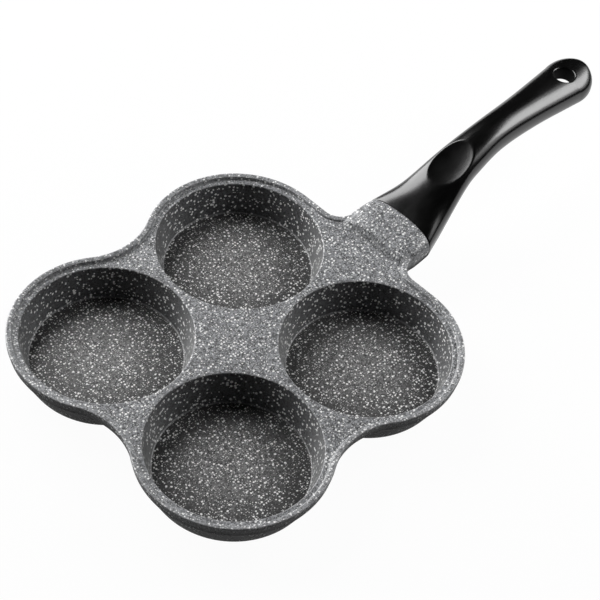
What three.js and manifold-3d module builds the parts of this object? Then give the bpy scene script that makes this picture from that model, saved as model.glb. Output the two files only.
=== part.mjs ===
// A four-cup egg pan: one stone-coated aluminium casting with a screwed-on black phenolic handle.
// Millimetres, +Z up, the handle along +X. The pan stands on the flat feet of its four cups.
import * as THREE from 'three';
import { mergeVertices } from 'three/addons/utils/BufferGeometryUtils.js';
import Module from 'manifold-3d';

// Cups: four round wells on a square, wider at the rim than at the floor
const cupFloorRadius = 45;
const cupFlare = 5;
const cupDepth = 20.5;
const cupFloorThickness = 3.5;
const cupCornerRadius = 1.5;
const cupWall = 3.3;
const footEdgeRadius = 2.5;

// Deck: the bridge between two rims, the ring outside a rim, the lobed edge and the lip on the edge
const deckBridge = 4.4;
const deckRing = 7;
const deckThickness = 5.5;
const waistRadius = 42.6;
const lipWidth = 3;
const lipHeight = 2.5;
const lipDraft = 0.8;
const edgeBandDepth = 2;
const edgeDraft = 1.5;

// Neck: the part of the casting that rises from the deck to the handle
const neckLength = 28.8;
const neckRoot = 21.2;
const neckRootSpread = 15.6;
const neckFootSpread = 5.6;
const neckCover = 0.5;
const neckFilletRadius = 11;
const jointHalfWidth = 24.4;
const jointHalfHeight = 11.9;
const jointMiddle = -0.8;
const jointSquareness = 2.4;

// Tang: the flat bar on the neck's end that the handle slides over
const tangLength = 30;
const tangWidth = 18;
const tangThickness = 7;
const tangLift = 0.8;
const tangTilt = THREE.MathUtils.degToRad(18);
const tangRoot = 10;

// Handle
const handleLength = 164;
const tipLength = 20;
const tipCurl = 2.5;
const tipFullness = 0.15;
const hangHoleInset = 20;
const hangHoleRadius = 6.5;
const hangMouthRadius = 7.75;
const hangMouthDepth = 1.5;
const thumbReach = 40;
const thumbRestDepth = 3.9;
const thumbRestRadius = 65;
const thumbRestReach = 26;
const thumbRestTilt = THREE.MathUtils.degToRad(25);

// Screw and washers that hold the handle
const screwReach = 18;
const screwRadius = 2.5;
const screwTipInset = 0.5;
const screwTipChamfer = 0.5;
const screwHeadRadius = 4.6;
const screwHeadHeight = 2.8;
const screwHeadCrown = 1;
const recessLength = 4.6;
const recessWidth = 1.1;
const recessDepth = 1.5;
const flatWasherRadius = 5;
const flatWasherThickness = 1;
const springWasherRadius = 4.6;
const springWasherThickness = 1.2;
const springWasherSplit = 1.2;
const seatWall = 2.6;

// Clearances
const jointGap = 0.3;
const tangClearance = 0.3;
const screwClearance = 0.3;
const seatGap = 0.3;
const counterboreClearance = 0.5;

// How finely the round shapes are divided, and how far cutters and joins reach past a face
const lobeSteps = 8;
const waistSteps = 8;
const filletSteps = 5;
const footEdgeSteps = 3;
const roundSegments = 44;
const smallSegments = 24;
const ringPoints = 28;
const stepsPerStation = 4;
const tipSteps = 6;
const thumbRestRings = 5;
const samePlace = 1e-6;
const overlap = 1;
const cutterReach = 30;

// Heights and places that follow from the sizes above
const deckLevel = cupFloorThickness + cupDepth;
const cupRimRadius = cupFloorRadius + cupFlare;
const footRadius = cupFloorRadius + cupWall;
const cupOffset = cupRimRadius + deckBridge / 2;
const lobeRadius = cupRimRadius + deckRing;
const lobeReach = cupOffset + lobeRadius;
const waistCentre = cupOffset + Math.sqrt((lobeRadius + waistRadius) ** 2 - cupOffset ** 2);
const jointReach = lobeReach + neckLength;
const handleTip = jointReach + handleLength;
const originShift = (handleTip - lobeReach) / 2;

// Cross-sections of the neck, by distance from the joint, which lies at 0. Heights are above the deck.
// The first two lie inside the deck.
const insideDeck = { middle: -deckThickness / 2, halfHeight: deckThickness / 2 - neckCover };
const neckStations = [
  { ...insideDeck, reach: -neckLength - neckRoot, halfWidth: jointHalfWidth + neckRootSpread, squareness: 6 },
  { ...insideDeck, reach: -neckLength, halfWidth: jointHalfWidth + neckFootSpread, squareness: 5 },
  { reach: -0.62 * neckLength, middle: -2.2, halfWidth: 24.6, halfHeight: 4, squareness: 3.6 },
  { reach: -0.31 * neckLength, middle: -1.3, halfWidth: jointHalfWidth, halfHeight: 7.8, squareness: 2.8 },
  {
    reach: 0,
    middle: jointMiddle,
    halfWidth: jointHalfWidth,
    halfHeight: jointHalfHeight,
    squareness: jointSquareness,
  },
];

// Cross-sections of the handle, by distance past the joint. The last one is where the round tip starts.
const thumbSection = { reach: thumbReach, middle: 18.3, halfWidth: 14.1, halfHeight: 11.5, squareness: 2.3 };
const endSection = {
  reach: handleLength - tipLength,
  middle: 27.8,
  halfWidth: 15.2,
  halfHeight: 9.6,
  squareness: 2.5,
};
const handleStations = [
  { ...neckStations[neckStations.length - 1], reach: jointGap },
  { reach: 18, middle: 4.5, halfWidth: 19.2, halfHeight: 13, squareness: 2.3 },
  thumbSection,
  { reach: 54, middle: 23.8, halfWidth: 12.4, halfHeight: 10.4, squareness: 2.3 },
  { reach: 76, middle: 28.4, halfWidth: 11, halfHeight: 9.6, squareness: 2.3 },
  { reach: 107, middle: 28.9, halfWidth: 12, halfHeight: 9.2, squareness: 2.3 },
  endSection,
];

const wasm = await Module();
wasm.setup();

// Booleans: a closed geometry becomes a solid, and a solid becomes a geometry again
function solidFrom(geometry) {
  const bare = new THREE.BufferGeometry();
  bare.setAttribute('position', geometry.getAttribute('position').clone());
  bare.setIndex(geometry.index);
  const merged = mergeVertices(bare);
  const corners = [];
  for (let i = 0; i < merged.index.count; i += 3) {
    const [a, b, c] = [merged.index.getX(i), merged.index.getX(i + 1), merged.index.getX(i + 2)];
    if (a !== b && b !== c && c !== a) corners.push(a, b, c);
  }
  const mesh = new wasm.Mesh({
    numProp: 3,
    vertProperties: new Float32Array(merged.getAttribute('position').array),
    triVerts: new Uint32Array(corners),
  });
  return new wasm.Manifold(mesh);
}

function geometryFrom(solid) {
  const mesh = solid.getMesh();
  const geometry = new THREE.BufferGeometry();
  geometry.setAttribute('position', new THREE.BufferAttribute(mesh.vertProperties, 3));
  geometry.setIndex(new THREE.BufferAttribute(mesh.triVerts, 1));
  geometry.computeVertexNormals();
  return geometry;
}

// A skin over rings of points, each ring running anticlockwise as seen from the last ring's end.
// The caps are lists of triangles over one ring's points.
function skin(rings, caps) {
  const count = rings[0].length;
  const corners = [];
  for (let r = 0; r + 1 < rings.length; r += 1) {
    for (let k = 0; k < count; k += 1) {
      const a = r * count + k;
      const b = r * count + ((k + 1) % count);
      corners.push(a, b, b + count, a, b + count, a + count);
    }
  }
  const last = (rings.length - 1) * count;
  for (const [a, b, c] of caps) {
    corners.push(a, c, b);
    corners.push(last + a, last + b, last + c);
  }
  const geometry = new THREE.BufferGeometry();
  geometry.setAttribute('position', new THREE.Float32BufferAttribute(rings.flat().flatMap((p) => p.toArray()), 3));
  geometry.setIndex(corners);
  return geometry;
}

// A body turned about Z from a profile of [radius, height] points that runs upwards
function turned(profile, segments) {
  const points = profile.map(([radius, height]) => new THREE.Vector2(radius, height));
  return new THREE.LatheGeometry(points, segments).rotateX(Math.PI / 2);
}

function drum(radius, low, high, segments) {
  return turned([[0, low], [radius, low], [radius, high], [0, high]], segments);
}

function arcPoints(centre, radius, start, end, steps) {
  return Array.from({ length: steps + 1 }, (_, i) => {
    const angle = start + ((end - start) * i) / steps;
    return new THREE.Vector2(radius * Math.cos(angle), radius * Math.sin(angle)).add(centre);
  });
}

// The pan's outline from above, drawn in by an inset. The lobes beside the neck run on straight to a
// round corner. With the neck the outline then runs out to the joint, and without it the outline goes
// straight across between the two neck corners.
function panOutline(inset, withNeck) {
  const lobe = lobeRadius - inset;
  const waist = waistRadius + inset;
  const lean = Math.atan2(waistCentre - cupOffset, cupOffset);
  const corner = new THREE.Vector2(lobeReach + neckFilletRadius, jointHalfWidth + neckFilletRadius);
  const half = [];
  if (withNeck) half.push(new THREE.Vector2(jointReach, jointHalfWidth - inset));
  half.push(...arcPoints(corner, neckFilletRadius + inset, -Math.PI / 2, -Math.PI, filletSteps));
  const right = new THREE.Vector2(cupOffset, cupOffset);
  half.push(...arcPoints(right, lobe, 0, Math.PI / 2, lobeSteps));
  half.push(...arcPoints(right, lobe, Math.PI / 2, Math.PI - lean, lobeSteps));
  half.push(...arcPoints(new THREE.Vector2(0, waistCentre), waist, -lean, lean - Math.PI, waistSteps));
  const left = new THREE.Vector2(-cupOffset, cupOffset);
  half.push(...arcPoints(left, lobe, lean, Math.PI / 2, lobeSteps));
  half.push(...arcPoints(left, lobe, Math.PI / 2, Math.PI, lobeSteps));
  half.push(...arcPoints(left, lobe, Math.PI, Math.PI * 1.5 - lean, lobeSteps));
  const side = new THREE.Vector2(-waistCentre, 0);
  half.push(...arcPoints(side, waist, Math.PI / 2 - lean, 0, waistSteps / 2));
  const distinct = half.filter((p, i) => i === 0 || p.distanceTo(half[i - 1]) > samePlace);
  const mirrored = distinct.slice(0, -1).reverse().map((p) => new THREE.Vector2(p.x, -p.y));
  return distinct.concat(mirrored);
}

// A solid whose outline is drawn in by a different inset at each height
function stacked(layers, withNeck) {
  const outlines = layers.map(({ inset }) => panOutline(inset, withNeck));
  const rings = outlines.map((outline, i) => outline.map((p) => new THREE.Vector3(p.x, p.y, layers[i].height)));
  return solidFrom(skin(rings, THREE.ShapeUtils.triangulateShape(outlines[0], [])));
}

// Round-cornered cross-sections through a list of stations, each in its own plane across X
function sectionRing({ x, middle, halfWidth, halfHeight, squareness }) {
  const power = 2 / squareness;
  return Array.from({ length: ringPoints }, (_, k) => {
    const angle = (2 * Math.PI * k) / ringPoints;
    const [cos, sin] = [Math.cos(angle), Math.sin(angle)];
    const y = halfWidth * Math.sign(cos) * Math.abs(cos) ** power;
    const z = halfHeight * Math.sign(sin) * Math.abs(sin) ** power;
    return new THREE.Vector3(x, y, deckLevel + middle + z);
  });
}

function smoothSections(stations) {
  const spline = (pick) => new THREE.CatmullRomCurve3(stations.map(pick), false, 'catmullrom', 0.5);
  const course = spline((s) => new THREE.Vector3(jointReach + s.reach, s.middle, s.squareness));
  const girth = spline((s) => new THREE.Vector3(s.halfWidth, s.halfHeight, 0));
  const steps = (stations.length - 1) * stepsPerStation;
  return Array.from({ length: steps + 1 }, (_, i) => {
    const place = course.getPoint(i / steps);
    const size = girth.getPoint(i / steps);
    return { x: place.x, middle: place.y, squareness: place.z, halfWidth: size.x, halfHeight: size.y };
  });
}

function swept(sectionList) {
  const fan = Array.from({ length: ringPoints - 2 }, (_, k) => [0, k + 1, k + 2]);
  return solidFrom(skin(sectionList.map(sectionRing), fan));
}

// The frame of the tang: X along it, Z along the screw, the origin where it leaves the neck
const tangPlace = new THREE.Matrix4()
  .makeTranslation(jointReach, 0, deckLevel + jointMiddle + tangLift)
  .multiply(new THREE.Matrix4().makeRotationY(-tangTilt));

function tangBar(clearance, tail) {
  const length = tangLength + clearance + tail;
  const bar = new THREE.BoxGeometry(length, tangWidth + 2 * clearance, tangThickness + 2 * clearance);
  return solidFrom(bar.translate(length / 2 - tail, 0, 0).applyMatrix4(tangPlace));
}

function screwDrum(radius, low, high) {
  const hole = drum(radius, low, high, smallSegments).translate(screwReach, 0, 0);
  return solidFrom(hole.applyMatrix4(tangPlace));
}

// Levels along the screw, down from the tang
const seatLevel = -(tangThickness / 2 + tangClearance + seatWall);
const flatWasherTop = seatLevel - seatGap;
const springWasherTop = flatWasherTop - flatWasherThickness - seatGap;
const screwHeadTop = springWasherTop - springWasherThickness - seatGap;
const screwHeadBottom = screwHeadTop - screwHeadHeight;
const screwTip = tangThickness / 2 - screwTipInset;

function cupPlaces() {
  return [[1, 1], [-1, 1], [-1, -1], [1, -1]].map(([sx, sy]) => [sx * cupOffset, sy * cupOffset]);
}

// The round outside of one cup, from its flat foot up into the deck
function cupOutside([x, y]) {
  const bottom = deckLevel - edgeBandDepth;
  const edgeCentre = new THREE.Vector2(footRadius - footEdgeRadius, footEdgeRadius);
  const foot = arcPoints(edgeCentre, footEdgeRadius, -Math.PI / 2, 0, footEdgeSteps).map((p) => p.toArray());
  const profile = [[0, 0], ...foot, [lobeRadius, bottom], [lobeRadius, deckLevel], [0, deckLevel]];
  return solidFrom(turned(profile, roundSegments).translate(x, y, 0));
}

// The well of one cup, reaching up past the lip
function cupWell([x, y]) {
  const slope = cupFlare / cupDepth;
  const top = deckLevel + lipHeight + overlap;
  const profile = [
    [0, cupFloorThickness],
    [cupFloorRadius - cupCornerRadius, cupFloorThickness],
    [cupFloorRadius + slope * cupCornerRadius, cupFloorThickness + cupCornerRadius],
    [cupRimRadius, deckLevel],
    [cupRimRadius, top],
    [0, top],
  ];
  return solidFrom(turned(profile, roundSegments).translate(x, y, 0));
}

function makeDeck() {
  return stacked([
    { inset: edgeDraft, height: deckLevel - deckThickness },
    { inset: 0, height: deckLevel - edgeBandDepth },
    { inset: 0, height: deckLevel },
  ], false);
}

// The lip stands on the deck's edge and runs out where the neck leaves the corners beside it
function makeLip() {
  const top = deckLevel + lipHeight;
  const wall = stacked([{ inset: 0, height: deckLevel - overlap }, { inset: 0, height: top }], false);
  const inside = stacked([
    { inset: lipWidth + lipDraft, height: deckLevel },
    { inset: lipWidth, height: top },
    { inset: lipWidth, height: top + overlap },
  ], true);
  return wall.subtract(inside);
}

function makeNeck() {
  const plan = stacked([
    { inset: 0, height: deckLevel - cutterReach },
    { inset: 0, height: deckLevel + cutterReach },
  ], true);
  return swept(smoothSections(neckStations)).intersect(plan);
}

function makePanBody() {
  let body = makeDeck().add(makeLip()).add(makeNeck()).add(tangBar(0, tangRoot));
  for (const place of cupPlaces()) body = body.add(cupOutside(place));
  for (const place of cupPlaces()) body = body.subtract(cupWell(place));
  const tapped = screwDrum(screwRadius + screwClearance, -tangThickness, tangThickness);
  return body.subtract(tapped);
}

// The sections of the rounded tip, which close in as a quarter circle does and curl up a little
function tipSections(from) {
  return Array.from({ length: tipSteps }, (_, i) => {
    const angle = ((i + 1) / (tipSteps + 0.5)) * (Math.PI / 2);
    const [along, across] = [Math.sin(angle), Math.cos(angle)];
    return {
      ...from,
      x: handleTip - tipLength * (1 - along),
      middle: from.middle + tipCurl * along,
      halfWidth: from.halfWidth * across * (1 + tipFullness * along),
      halfHeight: from.halfHeight * Math.cbrt(across),
    };
  });
}

// The hanging hole, straight up through the handle, with a wider mouth on both faces
function hangHole() {
  const middle = deckLevel + endSection.middle;
  const mouth = endSection.halfHeight - hangMouthDepth;
  const flare = hangMouthRadius - hangHoleRadius;
  const outer = hangMouthRadius + flare;
  const profile = [
    [0, -cutterReach],
    [outer, -cutterReach],
    [outer, -mouth - 2 * hangMouthDepth],
    [hangHoleRadius, -mouth],
    [hangHoleRadius, mouth],
    [outer, mouth + 2 * hangMouthDepth],
    [outer, cutterReach],
    [0, cutterReach],
  ];
  return solidFrom(turned(profile, smallSegments).translate(handleTip - hangHoleInset, 0, middle));
}

// The scooped thumb rest: a shallow dish of a large sphere, laid on the slope of the handle's top
function thumbRest() {
  const dish = Array.from({ length: thumbRestRings + 1 }, (_, i) => {
    const radius = (thumbRestReach * i) / thumbRestRings;
    return [radius, thumbRestRadius - Math.sqrt(thumbRestRadius ** 2 - radius ** 2)];
  });
  const profile = [...dish, [thumbRestReach, cutterReach], [0, cutterReach]];
  const scoop = turned(profile, smallSegments).translate(0, 0, -thumbRestDepth).rotateY(-thumbRestTilt);
  const crown = deckLevel + thumbSection.middle + thumbSection.halfHeight;
  return solidFrom(scoop.translate(jointReach + thumbReach, 0, crown));
}

function makeHandle() {
  const grip = smoothSections(handleStations);
  const blank = swept([...grip, ...tipSections(grip[grip.length - 1])]);
  const counterbore = flatWasherRadius + counterboreClearance;
  return blank
    .subtract(tangBar(tangClearance, tangRoot))
    .subtract(screwDrum(screwRadius + screwClearance, seatLevel - overlap, 0))
    .subtract(screwDrum(counterbore, -cutterReach, seatLevel))
    .subtract(thumbRest())
    .subtract(hangHole());
}

// The screw stands head down on its own axis, which is local Z
function makeScrew() {
  const profile = [
    [0, screwHeadBottom],
    [screwHeadRadius - screwHeadCrown, screwHeadBottom],
    [screwHeadRadius, screwHeadBottom + screwHeadCrown],
    [screwHeadRadius, screwHeadTop],
    [screwRadius, screwHeadTop],
    [screwRadius, screwTip - screwTipChamfer],
    [screwRadius - screwTipChamfer, screwTip],
    [0, screwTip],
  ];
  const slot = (length, width) => solidFrom(new THREE.BoxGeometry(length, width, 2 * recessDepth)
    .translate(0, 0, screwHeadBottom));
  return solidFrom(turned(profile, smallSegments))
    .subtract(slot(recessLength, recessWidth))
    .subtract(slot(recessWidth, recessLength));
}

// A flat ring below a level on the screw's axis, whole or with a split in it
function washer(radius, top, thickness, split) {
  const bore = screwRadius + screwClearance;
  const opening = Math.asin(split / 2 / bore);
  const shape = new THREE.Shape();
  if (split > 0) {
    shape.absarc(0, 0, radius, opening, 2 * Math.PI - opening, false);
    shape.absarc(0, 0, bore, 2 * Math.PI - opening, opening, true);
  } else {
    shape.absarc(0, 0, radius, 0, 2 * Math.PI, false);
    shape.holes.push(new THREE.Path().absarc(0, 0, bore, 0, 2 * Math.PI, true));
  }
  const options = { depth: thickness, bevelEnabled: false, curveSegments: smallSegments / 2 };
  return solidFrom(new THREE.ExtrudeGeometry(shape, options).translate(0, 0, top - thickness));
}

const coating = { color: 0x55585c, roughness: 0.55, metalness: 0.1 };
const phenolic = { color: 0x121213, roughness: 0.38, metalness: 0 };
const steel = { color: 0x9a9c9f, roughness: 0.35, metalness: 1 };

function node(name, solid, finish) {
  const mesh = new THREE.Mesh(geometryFrom(solid), new THREE.MeshStandardMaterial(finish));
  mesh.name = name;
  return mesh;
}

// The screw and its washers share the tilted axis
const fastening = new THREE.Group();
fastening.applyMatrix4(tangPlace);
const onAxis = new THREE.Group();
onAxis.position.x = screwReach;
onAxis.add(node('handle_screw', makeScrew(), steel));
onAxis.add(node('spring_washer',
  washer(springWasherRadius, springWasherTop, springWasherThickness, springWasherSplit), steel));
onAxis.add(node('flat_washer', washer(flatWasherRadius, flatWasherTop, flatWasherThickness, 0), steel));
fastening.add(onAxis);

// The origin lies on the table, below the middle of the whole pan
const assembly = new THREE.Group();
assembly.position.x = -originShift;
assembly.add(node('pan_body', makePanBody(), coating));
assembly.add(node('handle', makeHandle(), phenolic));
assembly.add(fastening);

const eggPan = new THREE.Group();
eggPan.add(assembly);

export default eggPan;
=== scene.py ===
"""The looks of the four-cup egg pan: stone-speckle casting, black phenolic handle, studio floor and light.

Shapes are worked out in millimetres in the pan's own frame (origin on the deck's level, in the middle of the
four cups, handle along +X) and moved to the row frame, in metres, when a mesh is made.
"""

import math

import bmesh
import bpy
import numpy as np
from mathutils import Matrix, Vector
from mathutils.geometry import delaunay_2d_cdt


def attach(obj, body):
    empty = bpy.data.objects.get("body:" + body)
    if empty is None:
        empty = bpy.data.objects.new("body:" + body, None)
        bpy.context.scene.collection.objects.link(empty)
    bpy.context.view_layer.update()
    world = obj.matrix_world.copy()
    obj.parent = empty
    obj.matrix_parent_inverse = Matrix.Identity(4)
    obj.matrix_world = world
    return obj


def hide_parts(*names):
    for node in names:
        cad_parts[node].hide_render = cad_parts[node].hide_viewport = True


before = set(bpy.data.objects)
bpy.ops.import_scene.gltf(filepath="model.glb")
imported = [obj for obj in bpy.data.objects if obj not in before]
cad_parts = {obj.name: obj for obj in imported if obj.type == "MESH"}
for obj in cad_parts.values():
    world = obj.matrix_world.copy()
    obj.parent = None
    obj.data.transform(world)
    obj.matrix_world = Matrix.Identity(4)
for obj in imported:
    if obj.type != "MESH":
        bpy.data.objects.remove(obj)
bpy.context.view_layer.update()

# Sizes in millimetres
MM = 0.001
DECK_LEVEL = 24.0
ORIGIN_SHIFT = 96.4
CUP_OFFSET = 52.2
CUP_FLOOR_RADIUS = 45.0
CUP_RIM_RADIUS = 50.0
CUP_DEPTH = 20.5
CUP_CORNER = 1.2
RIM_ROUND = 0.9
RIM_SHOULDER = 51.6
FOOT_RADIUS = 48.3
FOOT_ROUND = 2.5
LOBE_RADIUS = 57.0
WAIST_RADIUS = 42.6
LIP_WIDTH = 3.0
LIP_HEIGHT = 2.5
LIP_DRAFT = 0.8
LIP_FALL = 0.45
LIP_MARGIN = 4.8
LIP_ROUNDS = (0.7, 0.5, 0.5)
EDGE_BAND = 2.0
EDGE_DRAFT = 1.5
DECK_THICKNESS = 5.5
NECK_LENGTH = 28.8
NECK_FILLET = 11.0
JOINT_HALF_WIDTH = 25.0
JOINT_GAP = 0.3
JOINT_EDGE_ROUND = 0.5
HANDLE_LENGTH = 163.85
TIP_LENGTH = 20.0
TIP_CURL = 2.9
TIP_FULLNESS = 0.25
HOLE_REACH = 144.0
HOLE_RADIUS = 6.5
HOLE_ROUND = 1.3
HOLLOW_HALF_SIZE = (9.5, 11.2)
HOLLOW_SHIFT = 4.5
HOLLOW_DEPTH = 10.0
HOLLOW_ROUND = 2.0
THUMB_REACH = 40.0
THUMB_DEPTH = 3.9
THUMB_RADIUS = 65.0
THUMB_TILT = math.radians(25)
THUMB_EASE = 0.5
TANG_TILT = math.radians(18)
TANG_LIFT = 0.8
TANG_SIZE = (30.0, 18.0, 7.0)
TANG_ROOT = 10.0
SCREW_REACH = 18.0
SEAT_DEPTH = 6.4
COUNTERBORE_RADIUS = 5.5
COUNTERBORE_LOW = -30.0
SCREW_HOLE_RADIUS = 2.8
SCREW_HOLE_OVERLAP = 1.0
CLEARANCE = 0.3

LOBE_REACH = CUP_OFFSET + LOBE_RADIUS
JOINT_REACH = LOBE_REACH + NECK_LENGTH
WAIST_CENTRE = CUP_OFFSET + math.sqrt((LOBE_RADIUS + WAIST_RADIUS) ** 2 - CUP_OFFSET ** 2)
CUPS = [(sx * CUP_OFFSET, sy * CUP_OFFSET) for sx, sy in ((1, 1), (-1, 1), (-1, -1), (1, -1))]

# Sections of the neck and the handle: distance from the joint, middle height, half width, half height and
# squareness
JOINT_SECTION = (-2.2, JOINT_HALF_WIDTH, 10.6, 3.0)
NECK_STATIONS = [
    (-50.0, -2.75, 40.0, 2.25, 2.0),
    (-28.8, -2.6, 28.5, 7.4, 2.3),
    (-18.8, -2.5, 26.2, 8.1, 3.0),
    (-12.5, -2.4, 25.2, 8.8, 4.6),
    (0.0, *JOINT_SECTION),
]
HANDLE_STATIONS = [
    (JOINT_GAP, *JOINT_SECTION),
    (18.0, 4.5, 19.5, 13.0, 2.3),
    (THUMB_REACH, 18.3, 14.5, 11.5, 2.3),
    (54.0, 23.8, 12.8, 10.4, 2.3),
    (76.0, 28.38, 11.4, 9.6, 2.3),
    (107.0, 28.86, 12.4, 9.2, 2.3),
    (HANDLE_LENGTH - TIP_LENGTH, 27.8, 15.5, 9.6, 2.5),
]
# The neck's foot rises from the deck in a straight slope across the pan, up to its crown
FOOT_START = 110.9
FOOT_SLOPE = 1.2
FOOT_EASE = 1.2
FOOT_BLEND = 2.4
# In the bays beside the neck the deck rises a little towards the lip, over this width
APRON_START = 0.5
APRON_WIDTH = 16.0
APRON_HEIGHT = 1.0
APRON_EASE = 6.0
BAY_REACH = (88.0, 104.0)
BAY_SIDE = (46.0, 34.0)
# The joint bows towards the pan at its sides, by this much for each square millimetre from the middle.
# The bow fades out over these lengths of the neck and the handle
JOINT_BOW = 0.003
NECK_BOW_LENGTH = 20.0
HANDLE_BOW_LENGTH = 16.0
# How softly the lip's foot meets the neck, and the underside's cups and neck meet the web
LIP_BLEND = 1.2
CUP_BLEND = 1.2
BELLY_BLEND = 1.5
SHARP_DEGREES = 40
# Points closer than this are one point, and anything this high is out of the way
TOUCHING = 1e-6
FAR_AWAY = 1e3


def to_row(points):
    """Pan millimetres to row metres."""
    return (np.asarray(points, float) + (-ORIGIN_SHIFT, 0.0, DECK_LEVEL)) * MM


def smooth_step(low, high, value):
    t = np.clip((value - low) / (high - low), 0.0, 1.0)
    return t * t * (3.0 - 2.0 * t)


def soft_max(a, b, blend):
    gap = np.maximum(blend - np.abs(a - b), 0.0)
    return np.maximum(a, b) + gap * gap / (4.0 * blend)


def soft_min(a, b, blend):
    return -soft_max(-a, -b, blend)


def unit_circle(count):
    angles = 2 * math.pi * np.arange(count) / count
    return np.stack([np.cos(angles), np.sin(angles)], 1)


def lattice(xs, ys):
    """Every pair of an x and a y, as rows."""
    x, y = np.meshgrid(xs, ys)
    return np.column_stack([x.ravel(), y.ravel()])


def rounded(corners, radii, steps=6):
    """A polyline with its inner corners rounded."""
    points = [np.array(corners[0], float)]
    for a, b, c, radius in zip(corners, corners[1:], corners[2:], radii):
        a, b, c = (np.array(p, float) for p in (a, b, c))
        back, on = (a - b) / np.linalg.norm(a - b), (c - b) / np.linalg.norm(c - b)
        half = 0.5 * math.acos(float(back @ on))
        centre = b + (back + on) / np.linalg.norm(back + on) * radius / math.sin(half)
        start, end = (b + way * radius / math.tan(half) - centre for way in (back, on))
        first = math.atan2(start[1], start[0])
        turn = (math.atan2(end[1], end[0]) - first + math.pi) % (2 * math.pi) - math.pi
        angles = first + turn * np.linspace(0.0, 1.0, steps + 1)
        points.extend(centre + radius * np.stack([np.cos(angles), np.sin(angles)], 1))
    points.append(np.array(corners[-1], float))
    return np.array(points)


def spline(stations, steps=40):
    """Sections along a smooth course through the stations, as rows like theirs."""
    p = np.array(stations, float)
    p = np.vstack([2 * p[0] - p[1], p, 2 * p[-1] - p[-2]])
    rows = []
    for i in range(1, len(p) - 2):
        for w in np.arange(steps) / steps:
            a, b, c, d = p[i - 1:i + 3]
            rows.append(b + 0.5 * w * (c - a + w * (2 * a - 5 * b + 4 * c - d + w * (3 * (b - c) + d - a))))
    rows.append(p[-2])
    return np.array(rows)


def section_at(course, reach):
    """Middle, half width, half height and squareness at each reach."""
    return [np.interp(reach, course[:, 0], course[:, i]) for i in range(1, 5)]


def bulge(course, reach, y):
    """Middle of the section and how far its skin lies above and below it, at each reach and y."""
    middle, width, height, square = section_at(course, reach)
    share = np.clip(np.abs(y) / width, 0.0, 1.0)
    return middle, height * (1.0 - share ** square) ** (1.0 / square)


def bowed(points, share):
    """Points drawn towards the pan at the sides, as the joint is, by their share of its bow."""
    points = np.array(points)
    points[:, 0] -= JOINT_BOW * points[:, 1] ** 2 * share
    return points.tolist()


def in_polygon(points, polygon):
    x, y = points[:, 0:1], points[:, 1:2]
    a, b = polygon, np.roll(polygon, -1, axis=0)
    crosses = (a[:, 1] > y) != (b[:, 1] > y)
    level = np.where(b[:, 1] == a[:, 1], 1.0, b[:, 1] - a[:, 1])
    return (crosses & (x < a[:, 0] + (b[:, 0] - a[:, 0]) * (y - a[:, 1]) / level)).sum(axis=1) % 2 == 1


def distance_to(spots, points):
    """Distance of each point from the nearest spot."""
    return np.array([np.min(np.hypot(*(spots - p).T)) for p in points])


def clear_of_cups(points, radius):
    return np.all([np.hypot(*(points - c).T) > radius for c in CUPS], axis=0)


def round_trip(count, first=0):
    """Edges of a closed loop of points that are numbered in a row."""
    return [(first + k, first + (k + 1) % count) for k in range(count)]


# Where a point lies on the casting, for the coat's colours; the edge mark is a painted highlight on rounded
# edges
# The corner mark is painted shade on the cup floors, darkest at the foot of the walls
MARKS = ("edge", "wall", "floor", "outside", "corner")


def marked(**levels):
    """Levels of all the marks, 0 for those not named."""
    return tuple(levels.get(name, 0.0) for name in MARKS)


class Skin:
    """Collects points and faces for one mesh."""

    def __init__(self):
        self.points, self.faces, self.marks = [], [], []

    def ring(self, points, marks=marked()):
        """Adds points with their marks, and returns their numbers."""
        points = np.atleast_2d(np.asarray(points, float))
        first = len(self.points)
        self.points.extend(points.tolist())
        self.marks.extend(np.broadcast_to(np.asarray(marks, float), (len(points), len(MARKS))).tolist())
        return np.arange(first, first + len(points))

    def strip(self, a, b, closed):
        """Quads between two rings of the same length."""
        last = len(a) if closed else len(a) - 1
        for k in range(last):
            n = (k + 1) % len(a)
            self.faces.append((a[k], a[n], b[n], b[k]))

    def strips(self, rings, closed=True):
        for a, b in zip(rings, rings[1:]):
            self.strip(a, b, closed)

    def fan(self, ring, tip):
        for k in range(len(ring)):
            self.faces.append((ring[k], ring[(k + 1) % len(ring)], tip))

    def fill(self, numbers, edges, keep, axes=(0, 1)):
        """Triangles over the points' plan with the edges held, where keep says yes to a triangle's middle."""
        plan = np.array([[self.points[n][a] for a in axes] for n in numbers])
        out = delaunay_2d_cdt([Vector(p) for p in plan], edges, [], 0, TOUCHING, True)
        names = [source[0] for source in out[3]]
        triangles = np.array([[names[v] for v in face] for face in out[2]])
        wanted = keep(plan[triangles].mean(axis=1))
        self.faces.extend(tuple(int(numbers[v]) for v in t) for t in triangles[wanted])

    def mesh(self, name):
        data = bpy.data.meshes.new(name)
        data.from_pydata(to_row(self.points).tolist(), [], [tuple(int(v) for v in f) for f in self.faces])
        for i, kind in enumerate(MARKS):
            layer = data.attributes.new(kind, "FLOAT", "POINT")
            layer.data.foreach_set("value", np.array(self.marks, np.float32)[:, i])
        b = bmesh.new()
        b.from_mesh(data)
        bmesh.ops.recalc_face_normals(b, faces=b.faces)
        b.to_mesh(data)
        b.free()
        return data


def add_object(name, data):
    made = bpy.data.objects.new(name, data)
    bpy.context.scene.collection.objects.link(made)
    return made


def carve(target, tool, operation):
    """Joins the tool to the target or cuts it away, and removes the tool."""
    change = target.modifiers.new("carve", "BOOLEAN")
    change.operation, change.object, change.solver = operation, tool, "EXACT"
    bpy.context.view_layer.update()
    result = bpy.data.meshes.new_from_object(target.evaluated_get(bpy.context.evaluated_depsgraph_get()))
    target.modifiers.remove(change)
    old = target.data
    target.data = result
    bpy.data.meshes.remove(old)
    bpy.data.objects.remove(tool)


def smooth(target):
    target.data.shade_smooth()
    target.data.set_sharp_from_angle(angle=math.radians(SHARP_DEGREES))


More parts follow.
